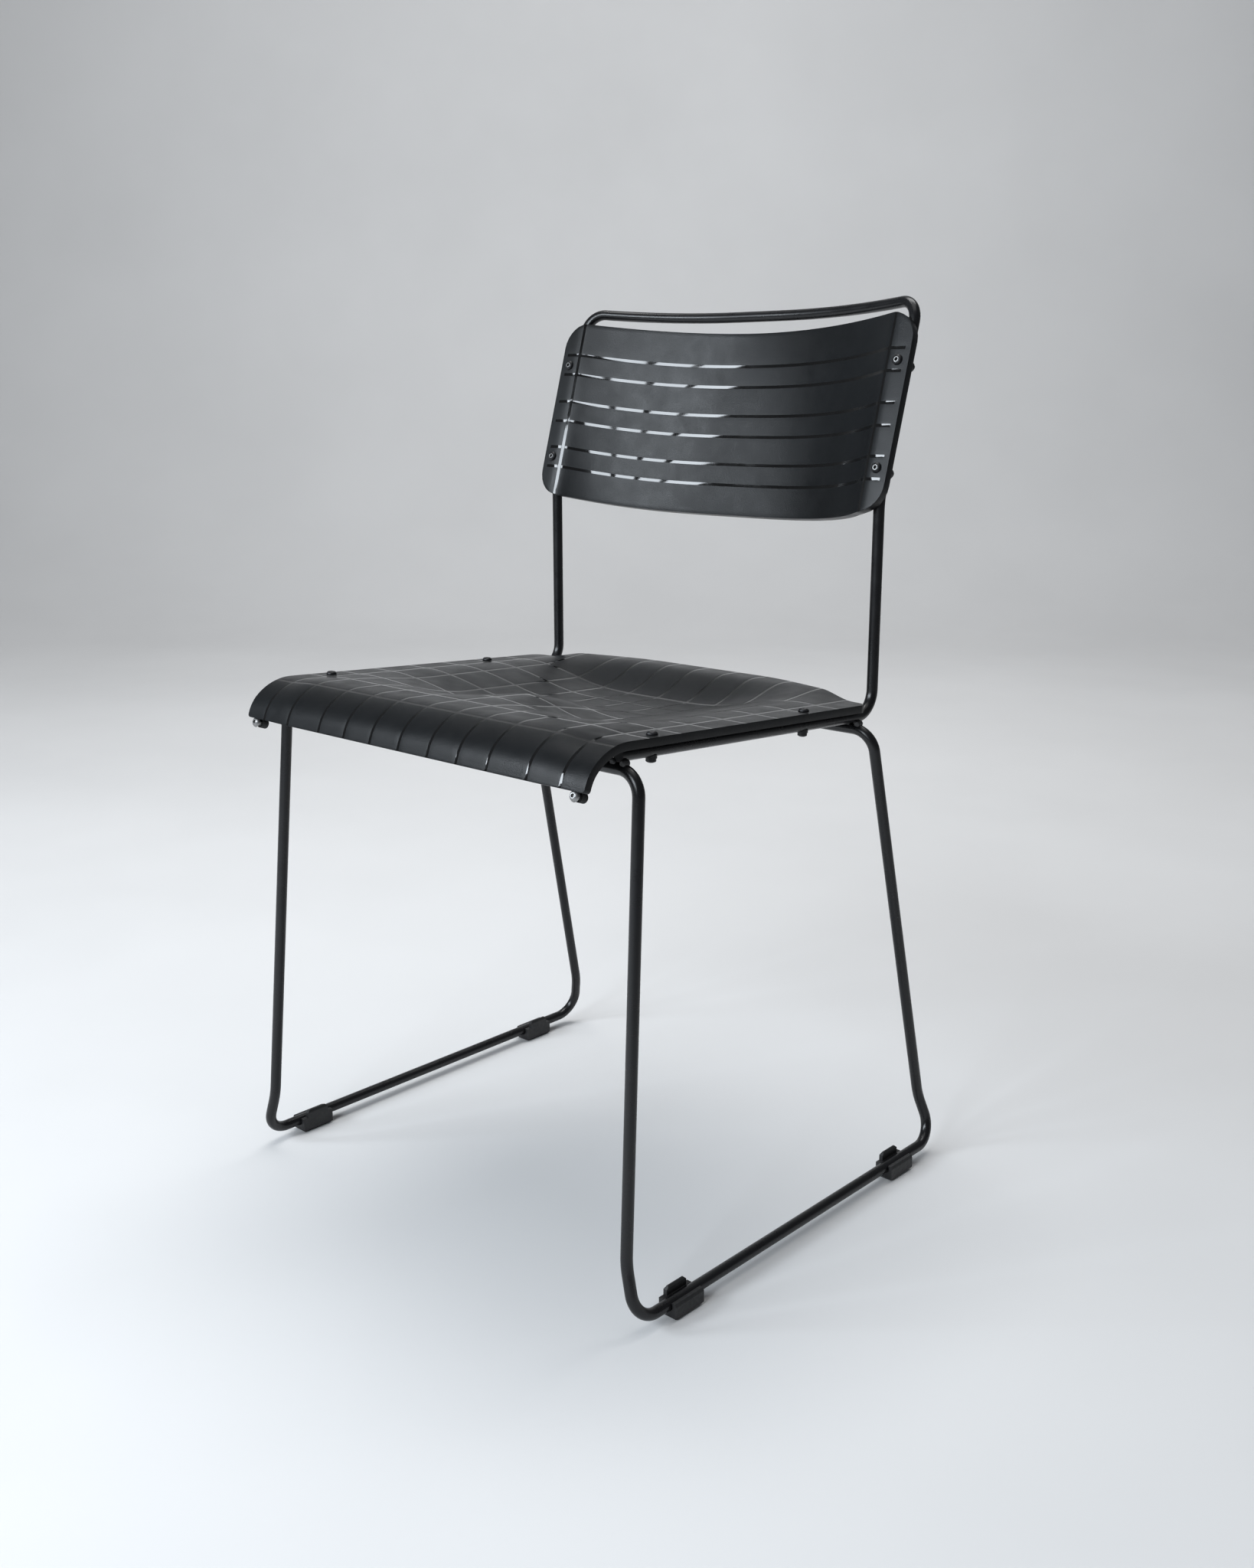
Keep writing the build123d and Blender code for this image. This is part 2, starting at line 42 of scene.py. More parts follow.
# ---- Sizes of the chair, in millimetres, as in the CAD part --------------------------------
ROD_R = 5.0
SKID_HALF_W, SKID_LEN = 244.0, 433.0
ANKLE_HALF_W, ANKLE_RISE = 231.0, 45.0
SHOULDER_HALF_W = 217.6
FRONT_BAR_FY, REAR_BAR_FY = 32.4, 339.6
SKID_Z = 12.0
RAIL_HALF_W, RAIL_FRONT_Z, RAIL_SLOPE = 198.0, 454.8, radians(3.15)
RAIL_OVERHANG = 2.0
SHOULDER_BEND_R, ANKLE_BEND_R, FOOT_BEND_R = 20, 70, 22
RAIL_BEND_R, KINK_BEND_R, TOP_BEND_R, BAR_TURN_R = 22, 70, 20, 520
UPRIGHT_FY, KINK_Z, LEAN = 367.0, 627.0, radians(16.17)
TOP_CORNER_Z, BAR_BOW, BAR_TURN_X = 797.0, 28.0, 100.0
WELD_AIR, PANEL_AIR = 0.3, 0.3

SEAT_HALF_W, SEAT_T = 208.5, 7.0
CREST_FY, CROWN_FRONT, CROWN_GROWTH = 28.0, 2.2, 0.0118
ROLL_START_X, FLANGE_X = 150.0, 191.5
DISH_DEPTH, DISH_HALF_W = 23.0, 120.0
DISH_FRONT_FY, DISH_REAR_FY = (45, 150), (292, 360)
RIDGE_SHARE, RIDGE_HALF_W, RIDGE_FADE_FY = 0.9, 55, (120, 230)
FALL_R, FALL_ANGLE = (54.0, 34.0), (radians(38), radians(70))
LIP_Z = 436.5
REAR_CORNER_FY, REAR_SWEEP, REAR_CORNER_R = 345.0, 33.0, 10.0
SWEEP_X = (60, 215)
LIP_CORNER_R = 3.0
SEAT_LINES_X = (-184, -149, -105, -70.5, -36, 0, 36, 70.5, 105, 149, 184)
SEAT_LINES_FY = (15.5, 53, 90, 128, 171, 214, 257, 300, 338)
LINE_W, LINE_EDGE, LINE_DEPTH = 3.8, 0.5, 0.04

BACK_HALF_W, BACK_T, FLANGE_W, BACK_CORNER_R = 209.0, 8.5, 22.0, 25.0
BACK_TOP_S, BACK_BOTTOM_S, BACK_DATUM_Z = 74.0, -102.0, 711.5
BOW_TOP, BOW_BOTTOM, POWER_TOP, POWER_BOTTOM = 46.0, 54.0, 1.9, 3.4
CREASE_BLEND = 6.0
BACK_LINES_S = (42, 22, -6, -26, -53, -73)
BACK_LINE_END_X = 204.0

SCREW_FY = (67.8, 262.8)
SCREW_S = (-63.2, 31.2)
HEAD_AIR, SOCKET_R, SOCKET_DEPTH = 0.05, 1.5, 1.8
SEAT_TURN_SEED, BACK_TURN_SEED = 3, 8
ROD_SIDES, BEND_STEPS = 28, 14
SEAT_STEP, FALL_STEP, BACK_STEP, BACK_LEVEL_STEP = 5.0, 3.0, 3.0, 5.0
REAR_ROWS, CORNER_ROWS = 8, 6

bar_gap = (2 * ROD_R + WELD_AIR) / cos(RAIL_SLOPE)
datum_fy = UPRIGHT_FY + (BACK_DATUM_Z - KINK_Z) * tan(LEAN)
top_fy = UPRIGHT_FY + (TOP_CORNER_Z - KINK_Z) * tan(LEAN)


def rail_z(fy):
    return RAIL_FRONT_Z - (fy - FRONT_BAR_FY) * tan(RAIL_SLOPE)


def smooth(start, end, value):
    t = min(max((value - start) / (end - start), 0), 1)
    return t * t * (3 - 2 * t)


def seat_z(x, fy):
    """Height of the seat's upper surface behind the waterfall."""
    edge = rail_z(fy) + (ROD_R + PANEL_AIR + SEAT_T) / cos(RAIL_SLOPE)
    inside = 1 - smooth(ROLL_START_X, FLANGE_X, abs(x))
    crown = (CROWN_FRONT + CROWN_GROWTH * (fy - CREST_FY)) * inside
    across = inside / (1 + (abs(x) / DISH_HALF_W) ** 4.5)
    along = smooth(*DISH_FRONT_FY, fy) * (1 - smooth(*DISH_REAR_FY, fy))
    ridge = RIDGE_SHARE * exp(-((x / RIDGE_HALF_W) ** 2)) * (1 - smooth(*RIDGE_FADE_FY, fy))
    return edge + crown - DISH_DEPTH * across * along * (1 - ridge)


def seat_front(x, travel):
    """Point and upward direction on the waterfall, travel mm past its start."""
    start_fy = CREST_FY + FALL_R[0] * sin(RAIL_SLOPE)
    angle = -RAIL_SLOPE
    fy, z = start_fy, seat_z(x, start_fy)
    for radius, end in zip(FALL_R, FALL_ANGLE):
        turn = min(travel / radius, end - angle)
        fy -= radius * (sin(angle + turn) - sin(angle))
        z += radius * (cos(angle + turn) - cos(angle))
        angle += turn
        travel -= turn * radius
    fy -= cos(angle) * travel
    z -= sin(angle) * travel
    return fy, z, -sin(angle), cos(angle)


ARCS_LEN = FALL_R[0] * (FALL_ANGLE[0] + RAIL_SLOPE) + FALL_R[1] * (FALL_ANGLE[1] - FALL_ANGLE[0])


def lip_len(x):
    """Length of the waterfall at one x, down to the lip's straight edge."""
    _, z, _, _ = seat_front(x, ARCS_LEN)
    inset = max(abs(x) - (SEAT_HALF_W - LIP_CORNER_R), 0)
    corner = LIP_CORNER_R - sqrt(max(LIP_CORNER_R**2 - inset**2, 0))
    return ARCS_LEN + (z - LIP_Z) / sin(FALL_ANGLE[1]) - corner


mid_fy = (seat_front(0, lip_len(0))[0] + top_fy + BAR_BOW * cos(LEAN) + ROD_R) / 2


def spot(x, fy, z):
    """A point of the chair in metres, in the shared frame."""
    return Vector((x, fy - mid_fy, z)) * MM


lean_up = Vector((0, sin(LEAN), cos(LEAN)))
lean_back = Vector((0, cos(LEAN), -sin(LEAN)))
rail_up = Vector((0, sin(RAIL_SLOPE), cos(RAIL_SLOPE)))
back_datum = spot(0, datum_fy, BACK_DATUM_Z) - lean_back * (ROD_R + PANEL_AIR + BACK_T) * MM


# ---- Materials -----------------------------------------------------------------------------
def coarse_noise(nodes, links, scale, detail=3.0):
    """Noise on the piece's own coordinates."""
    coords = nodes.new("ShaderNodeTexCoord")
    noise = nodes.new("ShaderNodeTexNoise")
    noise.inputs["Scale"].default_value = scale
    noise.inputs["Detail"].default_value = detail
    links.new(coords.outputs["Object"], noise.inputs["Vector"])
    return noise


def spread(nodes, links, source, low, high, from_low=0.3, from_high=0.7):
    """A value kept between low and high."""
    span = nodes.new("ShaderNodeMapRange")
    span.inputs["From Min"].default_value = from_low
    span.inputs["From Max"].default_value = from_high
    span.inputs["To Min"].default_value = low
    span.inputs["To Max"].default_value = high
    links.new(source, span.inputs["Value"])
    return span.outputs["Result"]


def blend_colour(nodes, links, factor, dark, light):
    mix = nodes.new("ShaderNodeMix")
    mix.data_type = "RGBA"
    mix.inputs["A"].default_value = (*dark, 1)
    mix.inputs["B"].default_value = (*light, 1)
    links.new(factor, mix.inputs["Factor"])
    return mix.outputs["Result"]


def make_finish(name, dark, light, rough, grain, blotch=9.0, metallic=0.0, coat=0.0, specular=0.5):
    """A finish from three scales: blotches of colour, blotches of gloss and a fine grain.

    rough is (low, high); grain is (size in mm, depth in mm, strength).
    """
    material = bpy.data.materials.new(name)
    material.use_nodes = True
    nodes, links = material.node_tree.nodes, material.node_tree.links
    shader = nodes["Principled BSDF"]
    shader.inputs["Metallic"].default_value = metallic
    shader.inputs["Coat Weight"].default_value = coat
    shader.inputs["Specular IOR Level"].default_value = specular
    blotches = coarse_noise(nodes, links, blotch)
    tone = spread(nodes, links, blotches.outputs["Fac"], 0, 1)
    links.new(blend_colour(nodes, links, tone, dark, light), shader.inputs["Base Color"])
    gloss = coarse_noise(nodes, links, blotch * 6, 5.0)
    links.new(spread(nodes, links, gloss.outputs["Fac"], *rough), shader.inputs["Roughness"])
    size, depth, strength = grain
    fine = coarse_noise(nodes, links, 1 / (size * MM), 2.0)
    bump = nodes.new("ShaderNodeBump")
    bump.inputs["Distance"].default_value = depth * MM
    bump.inputs["Strength"].default_value = strength
    links.new(fine.outputs["Fac"], bump.inputs["Height"])
    links.new(bump.outputs["Normal"], shader.inputs["Normal"])
    return material


satin_panel = make_finish(
    "satin_moulded_panel", (0.005, 0.0055, 0.006), (0.007, 0.008, 0.009), (0.30, 0.40), (0.8, 0.14, 0.9),
    specular=0.22,
)
gloss_line = make_finish(
    "polished_panel_line", (0.003, 0.003, 0.003), (0.005, 0.005, 0.005), (0.04, 0.09), (6.0, 0.02, 0.3)
)
powder_coat = make_finish(
    "black_powder_coat", (0.004, 0.004, 0.0045), (0.007, 0.007, 0.008), (0.24, 0.34), (0.9, 0.06, 0.5),
    specular=0.4,
)
weld_coat = make_finish(
    "coated_weld", (0.016, 0.016, 0.017), (0.030, 0.029, 0.029), (0.36, 0.55), (1.6, 0.25, 0.8)
)
black_screw = make_finish(
    "blackened_screw", (0.012, 0.012, 0.013), (0.030, 0.030, 0.032), (0.32, 0.48), (0.3, 0.02, 0.4), 200, 0.6
)
# Lighter metal on the ring round the screw socket: a painted highlight on the black screw head.
painted_highlight_rim = make_finish(
    "worn_socket_rim", (0.16, 0.16, 0.16), (0.28, 0.28, 0.275), (0.30, 0.44), (0.3, 0.02, 0.4), 200, 1.0
)
# Near-black colour in the hex socket, darker than the screw head: painted shade in the recess.
socket_shade = make_finish(
    "oiled_socket", (0.004, 0.004, 0.004), (0.009, 0.009, 0.009), (0.5, 0.7), (0.3, 0.02, 0.4), 200
)
bright_screw = make_finish(
    "zinc_plated_screw", (0.22, 0.22, 0.22), (0.34, 0.34, 0.335), (0.28, 0.45), (0.3, 0.02, 0.4), 200, 1.0
)
nut_finish = make_finish(
    "black_cap_nut", (0.012, 0.012, 0.013), (0.03, 0.03, 0.03), (0.28, 0.45), (0.5, 0.03, 0.5), 120, 0.3
)
rubber_finish = make_finish(
    "buffer_rubber", (0.008, 0.008, 0.008), (0.014, 0.013, 0.013), (0.60, 0.80), (0.4, 0.05, 0.6), 80
)
glide_finish = make_finish(
    "glide_nylon", (0.008, 0.008, 0.009), (0.016, 0.016, 0.016), (0.45, 0.62), (0.7, 0.08, 0.6), 60
)


# ---- Mesh helpers --------------------------------------------------------------------------
def mesh_piece(name, vertices, faces, materials, indices=None):
    """A smooth piece from lists of vertices and faces."""
    mesh = bpy.data.meshes.new(name)
    mesh.from_pydata([tuple(v) for v in vertices], [], faces)
    for material in materials:
        mesh.materials.append(material)
    if indices:
        mesh.polygons.foreach_set("material_index", indices)
    work = bmesh.new()
    work.from_mesh(mesh)
    bmesh.ops.remove_doubles(work, verts=work.verts, dist=0.01 * MM)
    bmesh.ops.dissolve_degenerate(work, dist=0.001 * MM, edges=work.edges)
    bmesh.ops.recalc_face_normals(work, faces=work.faces)
    for face in work.faces:
        face.smooth = True
    work.to_mesh(mesh)
    work.free()
    piece = bpy.data.objects.new(name, mesh)
    bpy.context.scene.collection.objects.link(piece)
    return piece


def soften_edges(piece, width, segments=3, angle=40):
    bevel = piece.modifiers.new("soft_edges", "BEVEL")
    bevel.width = width * MM
    bevel.segments = segments
    bevel.limit_method = "ANGLE"
    bevel.angle_limit = radians(angle)
    bevel.harden_normals = False
    return bevel


def with_lines(stations, lines):
    """Stations with four more at each moulded line: two outside its edges, two inside."""
    half = LINE_W / 2
    edges = [line + side * (half + step) for line in lines for side in (-1, 1) for step in (0, -LINE_EDGE)]
    keep = [s for s in stations if all(abs(s - line) > half + 1.0 for line in lines)]
    keep += [end for end in (stations[0], stations[-1]) if end not in keep]
    low, high = min(stations), max(stations)
    return sorted(set(keep + [edge for edge in edges if low < edge < high]))


def in_line(value, lines):
    return any(abs(value - line) < LINE_W / 2 - LINE_EDGE + 0.01 for line in lines)


def shell_piece(name, front, rear, on_line):
    """A closed sheet from two grids of points; on_line says which cells are polished."""
    rows, columns = len(front), len(front[0])
    count = rows * columns
    vertices = [p for row in front for p in row] + [p for row in rear for p in row]
    faces, indices = [], []
    for r in range(rows - 1):
        for c in range(columns - 1):
            a = r * columns + c
            faces.append((a, a + 1, a + 1 + columns, a + columns))
            indices.append(1 if on_line(r, c) else 0)
            faces.append((count + a + columns, count + a + 1 + columns, count + a + 1, count + a))
            indices.append(0)
    rim = [c for c in range(columns)]
    rim += [r * columns + columns - 1 for r in range(1, rows)]
    rim += [(rows - 1) * columns + c for c in range(columns - 2, -1, -1)]
    rim += [r * columns for r in range(rows - 2, 0, -1)]
    for here, there in zip(rim, rim[1:] + rim[:1]):
        faces.append((there, here, count + here, count + there))
        indices.append(0)
    return mesh_piece(name, vertices, faces, [satin_panel, gloss_line], indices)


def steps(low, high, size):
    count = max(int(round((high - low) / size)), 1)
    return [low + (high - low) * k / count for k in range(count + 1)]


# ---- Seat ----------------------------------------------------------------------------------
def seat_rear_fy(x):
    sweep = REAR_CORNER_FY + REAR_SWEEP * (1 - smooth(*SWEEP_X, abs(x)))
    inset = max(abs(x) - (SEAT_HALF_W - REAR_CORNER_R), 0)
    return sweep - REAR_CORNER_R + sqrt(max(REAR_CORNER_R**2 - inset**2, 0))


def corner_stations(half, radius, size):
    """Stations across a panel, closer together round its corners."""
    inner = half - radius
    turn = [inner + radius * sin(pi / 2 * k / 7) for k in range(1, 8)]
    return [-x for x in reversed(turn)] + steps(-inner, inner, size) + turn


def make_seat():
    """The dished seat, its waterfall edge and its grid of polished lines."""
    xs = with_lines(corner_stations(SEAT_HALF_W, REAR_CORNER_R, SEAT_STEP), SEAT_LINES_X)
    start_fy = CREST_FY + FALL_R[0] * sin(RAIL_SLOPE)
    straight = REAR_CORNER_FY - REAR_CORNER_R
    lines_fy = [line for line in SEAT_LINES_FY if line > start_fy and line < straight - 3]
    flat = with_lines(steps(start_fy, straight, SEAT_STEP), lines_fy)
    fall_line = start_fy - SEAT_LINES_FY[0]
    falls = with_lines(steps(0, ARCS_LEN, FALL_STEP), [fall_line])
    tails = [k / REAR_ROWS for k in range(1, REAR_ROWS + 1)]
    top, kinds = [], []
    for fy in reversed(flat[1:]):
        groove = in_line(fy, lines_fy)
        kinds.append(groove)
        top.append([(x, fy, seat_z(x, fy), 0, 1, groove) for x in xs])
    tail_rows = []
    for tail in tails:
        row = []
        for x in xs:
            fy = straight + (seat_rear_fy(x) - straight) * tail
            row.append((x, fy, seat_z(x, fy), 0, 1, False))
        tail_rows.append(row)
    top = list(reversed(tail_rows)) + top
    kinds = [False] * len(tail_rows) + kinds
    for travel in falls:
        groove = in_line(travel, [fall_line])
        kinds.append(groove)
        top.append([(x, *seat_front(x, travel), groove) for x in xs])
    for tail in (1 / 3, 2 / 3, 1):
        kinds.append(False)
        top.append([(x, *seat_front(x, ARCS_LEN + (lip_len(x) - ARCS_LEN) * tail), False) for x in xs])
    x_groove = [in_line(x, SEAT_LINES_X) for x in xs]
    front, rear = [], []
    for row in top:
        front.append([])
        rear.append([])
        for column, (x, fy, z, up_y, up_z, groove) in enumerate(row):
            sink = LINE_DEPTH if groove or x_groove[column] else 0
            front[-1].append(spot(x, fy - up_y * sink, z - up_z * sink))
            rear[-1].append(spot(x, fy - up_y * SEAT_T, z - up_z * SEAT_T))

    def on_line(r, c):
        return (kinds[r] and kinds[r + 1]) or (x_groove[c] and x_groove[c + 1])

    seat = shell_piece("moulded_seat", front, rear, on_line)
    soften_edges(seat, 1.1)
    return seat


# ---- Back ----------------------------------------------------------------------------------
def bow_depth(x, s):
    """Depth of the bow, turning softly into the flat side flanges."""
    share = (s - BACK_BOTTOM_S) / (BACK_TOP_S - BACK_BOTTOM_S)
    crease = BACK_HALF_W - FLANGE_W
    depth = BOW_BOTTOM + (BOW_TOP - BOW_BOTTOM) * share
    power = POWER_BOTTOM + (POWER_TOP - POWER_BOTTOM) * share
    sharp = depth * (1 - (abs(x) / crease) ** power)
    round_depth = CREASE_BLEND * depth * power / crease
    near = max(1 - abs(sharp) / round_depth, 0)
    return max(sharp, 0) + round_depth * near**2 / 4


def make_back():
    """The bowed back between its flat flanges, with its polished lines."""
    crease = BACK_HALF_W - FLANGE_W
    xs = with_lines(corner_stations(BACK_HALF_W, BACK_CORNER_R, BACK_STEP), (-crease, crease))
    low, high = BACK_BOTTOM_S + BACK_CORNER_R, BACK_TOP_S - BACK_CORNER_R
    middle = with_lines(steps(low, high, BACK_LEVEL_STEP), BACK_LINES_S)
    rows = [("low", k / CORNER_ROWS) for k in range(CORNER_ROWS, 0, -1)] + [("mid", s) for s in middle]
    rows += [("high", k / CORNER_ROWS) for k in range(1, CORNER_ROWS + 1)]
    x_groove = [in_line(x, (-crease, crease)) for x in xs]
    front, rear, kinds = [], [], []
    for kind, value in rows:
        groove = kind == "mid" and in_line(value, BACK_LINES_S)
        kinds.append(groove)
        front.append([])
        rear.append([])
        for column, x in enumerate(xs):
            inset = max(abs(x) - (BACK_HALF_W - BACK_CORNER_R), 0)
            reach = sqrt(max(BACK_CORNER_R**2 - inset**2, 0))
            s = {"mid": value, "low": low - reach * value, "high": high + reach * value}[kind]
            line = x_groove[column] or (groove and abs(x) < BACK_LINE_END_X)
            depth = bow_depth(x, s) + (LINE_DEPTH if line else 0)
            at = back_datum + (Vector((x, 0, 0)) + lean_up * s) * MM
            front[-1].append(at + lean_back * depth * MM)
            rear[-1].append(at + lean_back * (bow_depth(x, s) + BACK_T) * MM)

    def on_line(r, c):
        across = kinds[r] and kinds[r + 1] and abs(xs[c] + xs[c + 1]) / 2 < BACK_LINE_END_X
        return across or (x_groove[c] and x_groove[c + 1])

    back = shell_piece("moulded_back", front, rear, on_line)
    soften_edges(back, 1.4)
    return back


# ---- Rods, by geometry nodes ---------------------------------------------------------------
def bent_rod_tree():
    """Route points with a bend radius each become a rod of round section."""
    tree = bpy.data.node_groups.new("bent_rod", "GeometryNodeTree")
    face = tree.interface
    face.new_socket("Route", in_out="INPUT", socket_type="NodeSocketGeometry")
    face.new_socket("Rod radius", in_out="INPUT", socket_type="NodeSocketFloat")
    face.new_socket("Steps in a bend", in_out="INPUT", socket_type="NodeSocketInt")
    face.new_socket("Sides", in_out="INPUT", socket_type="NodeSocketInt")
    face.new_socket("Coating", in_out="INPUT", socket_type="NodeSocketMaterial")
    face.new_socket("Rod", in_out="OUTPUT", socket_type="NodeSocketGeometry")
    nodes, links = tree.nodes, tree.links
    entry = nodes.new("NodeGroupInput")
    end = nodes.new("NodeGroupOutput")
    to_curve = nodes.new("GeometryNodeMeshToCurve")
    radius = nodes.new("GeometryNodeInputNamedAttribute")
    radius.data_type = "FLOAT"
    radius.inputs["Name"].default_value = "bend_radius"
    bend = nodes.new("GeometryNodeFilletCurve")
    section = nodes.new("GeometryNodeCurvePrimitiveCircle")
    sweep = nodes.new("GeometryNodeCurveToMesh")
    sweep.inputs["Fill Caps"].default_value = True
    shade = nodes.new("GeometryNodeSetShadeSmooth")
    real = nodes.new("GeometryNodeRealizeInstances")
    paint = nodes.new("GeometryNodeSetMaterial")
    links.new(entry.outputs["Route"], to_curve.inputs["Mesh"])
    links.new(to_curve.outputs["Curve"], bend.inputs["Curve"])
    links.new(radius.outputs["Attribute"], bend.inputs["Radius"])
    if "Mode" in bend.inputs:
        bend.inputs["Mode"].default_value = "Poly"
    else:
        bend.mode = "POLY"
    links.new(entry.outputs["Steps in a bend"], bend.inputs["Count"])
    links.new(entry.outputs["Sides"], section.inputs["Resolution"])
    links.new(entry.outputs["Rod radius"], section.inputs["Radius"])
    links.new(bend.outputs["Curve"], sweep.inputs["Curve"])
    links.new(section.outputs["Curve"], sweep.inputs["Profile Curve"])
    links.new(sweep.outputs["Mesh"], shade.inputs["Geometry"])
    links.new(shade.outputs["Geometry"], real.inputs["Geometry"])
    links.new(real.outputs["Geometry"], paint.inputs["Geometry"])
    links.new(entry.outputs["Coating"], paint.inputs["Material"])
    links.new(paint.outputs["Geometry"], end.inputs["Rod"])
    return tree


def run_tree(source, tree, values):
    """Result of a tree on an object as a plain mesh piece that keeps the object's name."""
    modifier = source.modifiers.new(tree.name, "NODES")
    modifier.node_group = tree
    sockets = {item.name: item.identifier for item in tree.interface.items_tree}
    for name, value in values.items():
        modifier[sockets[name]] = value
    graph = bpy.context.evaluated_depsgraph_get()
    mesh = bpy.data.meshes.new_from_object(source.evaluated_get(graph))
    name = source.name
    bpy.data.objects.remove(source)
    piece = bpy.data.objects.new(name, mesh)
    bpy.context.scene.collection.objects.link(piece)
    return piece


def bent_rod(name, route, closed):
    """A rod through (point, bend radius in mm) pairs."""
    mesh = bpy.data.meshes.new(name)
    count = len(route)
    edges = [(k, k + 1) for k in range(count - 1)] + ([(count - 1, 0)] if closed else [])
    mesh.from_pydata([point for point, _ in route], edges, [])
    radii = mesh.attributes.new("bend_radius", "FLOAT", "POINT")
    radii.data.foreach_set("value", [bend * MM for _, bend in route])
    source = bpy.data.objects.new(name, mesh)
    bpy.context.scene.collection.objects.link(source)
    values = {"Rod radius": ROD_R * MM, "Coating": powder_coat}
    values |= {"Steps in a bend": BEND_STEPS, "Sides": ROD_SIDES}
    return run_tree(source, rod_tree, values)


def mirrored(route):
    """Both sides of a route given from the middle outwards on the +X side."""
    return [(Vector((-p.x, p.y, p.z)), r) for p, r in route] + list(reversed(route))


def leg_point(foot_fy, bar_fy, bar_z):
    share = ANKLE_RISE / (bar_z - SKID_Z)
    return spot(ANKLE_HALF_W, foot_fy + (bar_fy - foot_fy) * share, SKID_Z + ANKLE_RISE)


def make_base():
    front_z = rail_z(FRONT_BAR_FY) - bar_gap
    rear_z = rail_z(REAR_BAR_FY) - bar_gap
    side = [
        (spot(SHOULDER_HALF_W, FRONT_BAR_FY, front_z), SHOULDER_BEND_R),
        (leg_point(0, FRONT_BAR_FY, front_z), ANKLE_BEND_R),
        (spot(SKID_HALF_W, 0, SKID_Z), FOOT_BEND_R),
        (spot(SKID_HALF_W, SKID_LEN, SKID_Z), FOOT_BEND_R),
        (leg_point(SKID_LEN, REAR_BAR_FY, rear_z), ANKLE_BEND_R),
        (spot(SHOULDER_HALF_W, REAR_BAR_FY, rear_z), SHOULDER_BEND_R),
    ]
    return bent_rod("bent_sled_base", mirrored(side), True)


def make_back_frame():
    start = FRONT_BAR_FY - RAIL_OVERHANG
    side = [
        (spot(RAIL_HALF_W, start, rail_z(start)), 0),
        (spot(RAIL_HALF_W, UPRIGHT_FY, rail_z(UPRIGHT_FY)), RAIL_BEND_R),
        (spot(RAIL_HALF_W, UPRIGHT_FY, KINK_Z), KINK_BEND_R),
        (spot(RAIL_HALF_W, top_fy, TOP_CORNER_Z), TOP_BEND_R),
        (spot(BAR_TURN_X, top_fy, TOP_CORNER_Z) + lean_back * BAR_BOW * MM, BAR_TURN_R),
    ]
    return bent_rod("bent_back_frame", mirrored(side), False)


# ---- Screws and nuts, by geometry nodes ----------------------------------------------------
def scatter_tree():
    """One part on every point, turned to the point's own direction."""
    tree = bpy.data.node_groups.new("part_at_each_place", "GeometryNodeTree")
    face = tree.interface
    face.new_socket("Places", in_out="INPUT", socket_type="NodeSocketGeometry")
    face.new_socket("Part", in_out="INPUT", socket_type="NodeSocketObject")
    face.new_socket("Finish", in_out="INPUT", socket_type="NodeSocketMaterial")
    face.new_socket("Rim finish", in_out="INPUT", socket_type="NodeSocketMaterial")
    face.new_socket("Socket finish", in_out="INPUT", socket_type="NodeSocketMaterial")
    face.new_socket("Turn seed", in_out="INPUT", socket_type="NodeSocketInt")
    face.new_socket("Parts", in_out="OUTPUT", socket_type="NodeSocketGeometry")
    nodes, links = tree.nodes, tree.links
    entry = nodes.new("NodeGroupInput")
    end = nodes.new("NodeGroupOutput")
    part = nodes.new("GeometryNodeObjectInfo")
    facing = nodes.new("GeometryNodeInputNamedAttribute")
    facing.data_type = "FLOAT_VECTOR"
    facing.inputs["Name"].default_value = "facing"
    align = nodes.new("FunctionNodeAlignRotationToVector")
    align.axis = "Z"
    turn = nodes.new("FunctionNodeRandomValue")
    turn.data_type = "FLOAT"
    turn.inputs[3].default_value = 2 * pi
    spin = nodes.new("ShaderNodeCombineXYZ")
    rotate = nodes.new("FunctionNodeRotateRotation")
    rotate.rotation_space = "LOCAL"
    place = nodes.new("GeometryNodeInstanceOnPoints")
    real = nodes.new("GeometryNodeRealizeInstances")
    paint = nodes.new("GeometryNodeSetMaterial")
    links.new(entry.outputs["Places"], place.inputs["Points"])
    links.new(entry.outputs["Part"], part.inputs["Object"])
    links.new(part.outputs["Geometry"], place.inputs["Instance"])
    links.new(facing.outputs["Attribute"], align.inputs["Vector"])
    links.new(entry.outputs["Turn seed"], turn.inputs["Seed"])
    links.new(turn.outputs[1], spin.inputs["Z"])
    links.new(align.outputs["Rotation"], rotate.inputs["Rotation"])
    links.new(spin.outputs["Vector"], rotate.inputs["Rotate By"])
    links.new(rotate.outputs["Rotation"], place.inputs["Rotation"])
    links.new(place.outputs["Instances"], real.inputs["Geometry"])
    links.new(real.outputs["Geometry"], paint.inputs["Geometry"])
    links.new(entry.outputs["Finish"], paint.inputs["Material"])
    zone = nodes.new("GeometryNodeInputNamedAttribute")
    zone.data_type = "INT"
    zone.inputs["Name"].default_value = "zone"
    # Zone 1 gets the painted-highlight rim finish, zone 2 the painted-shade socket finish.
    for number, finish in ((1, "Rim finish"), (2, "Socket finish")):
        here = nodes.new("FunctionNodeCompare")
        here.data_type = "INT"
        here.operation = "EQUAL"
        first, second = [socket for socket in here.inputs if socket.enabled][:2]
        second.default_value = number
        links.new([out for out in zone.outputs if out.enabled][0], first)
        over = nodes.new("GeometryNodeSetMaterial")
        links.new(paint.outputs["Geometry"], over.inputs["Geometry"])
        links.new(here.outputs["Result"], over.inputs["Selection"])
        links.new(entry.outputs[finish], over.inputs["Material"])
        paint = over
    links.new(paint.outputs["Geometry"], end.inputs["Parts"])
    return tree


